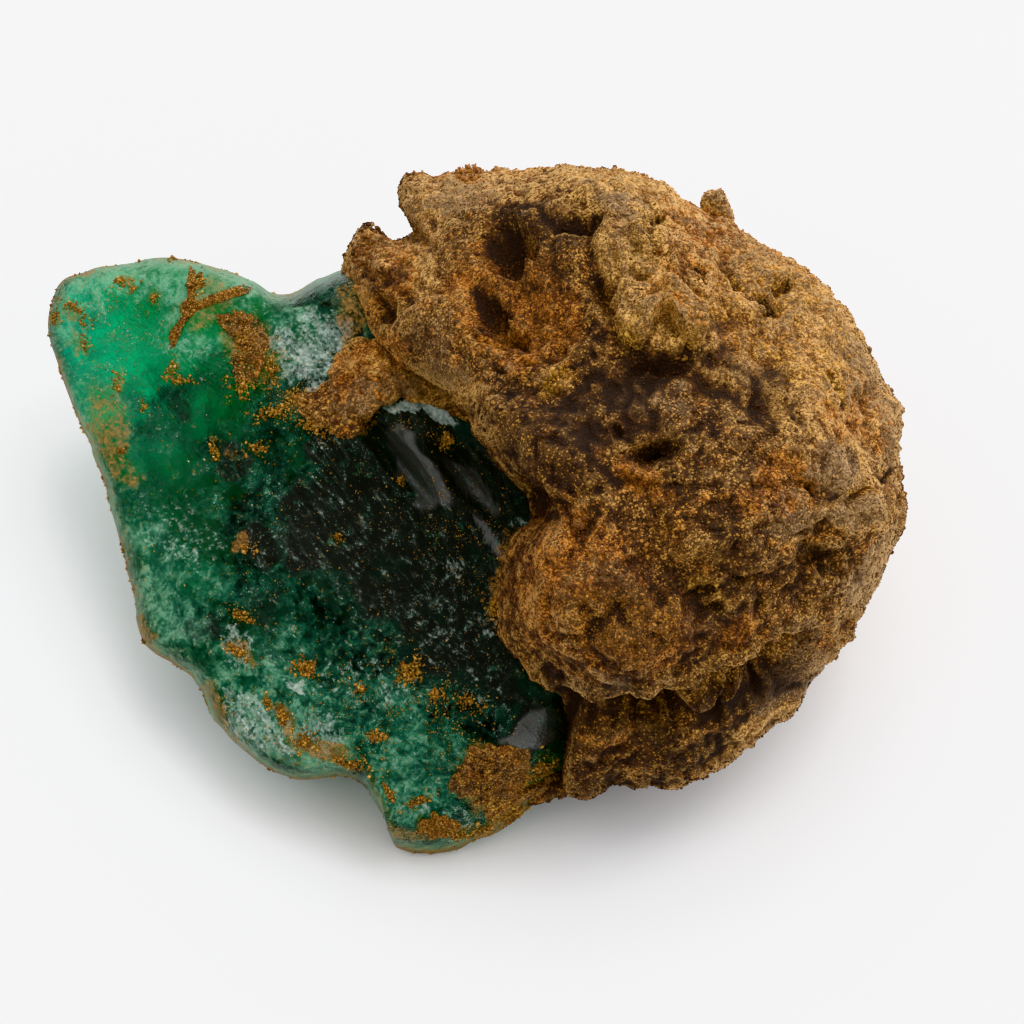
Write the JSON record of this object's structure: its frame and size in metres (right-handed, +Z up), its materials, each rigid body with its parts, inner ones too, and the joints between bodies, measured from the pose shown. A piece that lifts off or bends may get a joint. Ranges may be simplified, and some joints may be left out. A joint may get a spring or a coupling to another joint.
{
  "type": "raw emerald in soil matrix",
  "caption": "Rough wedge of green beryl with shell-like fracture faces, its thick end buried in a lumpy clod of brown earth.",
  "frame": {"origin": "under the middle of the specimen's box, on the surface it lies on", "axes": "+Z up; +X along the specimen, from the crystal's thin edge towards the crust; -Y towards the side that the crystal's broad face is seen from"},
  "size_m": [0.0662, 0.0534, 0.0372],
  "materials": {
    "green_beryl": "translucent green crystal with fresh fracture faces, part frosted",
    "brown_soil": "matt, granular, iron-stained soil"
  },
  "bodies": {
    "root": {"emerald": "green_beryl", "crust": "brown_soil", "soil_vein": "brown_soil", "soil_upper_patch": "brown_soil", "soil_lower_patch": "brown_soil", "soil_tip_patch": "brown_soil"}
  },
  "joints": []
}
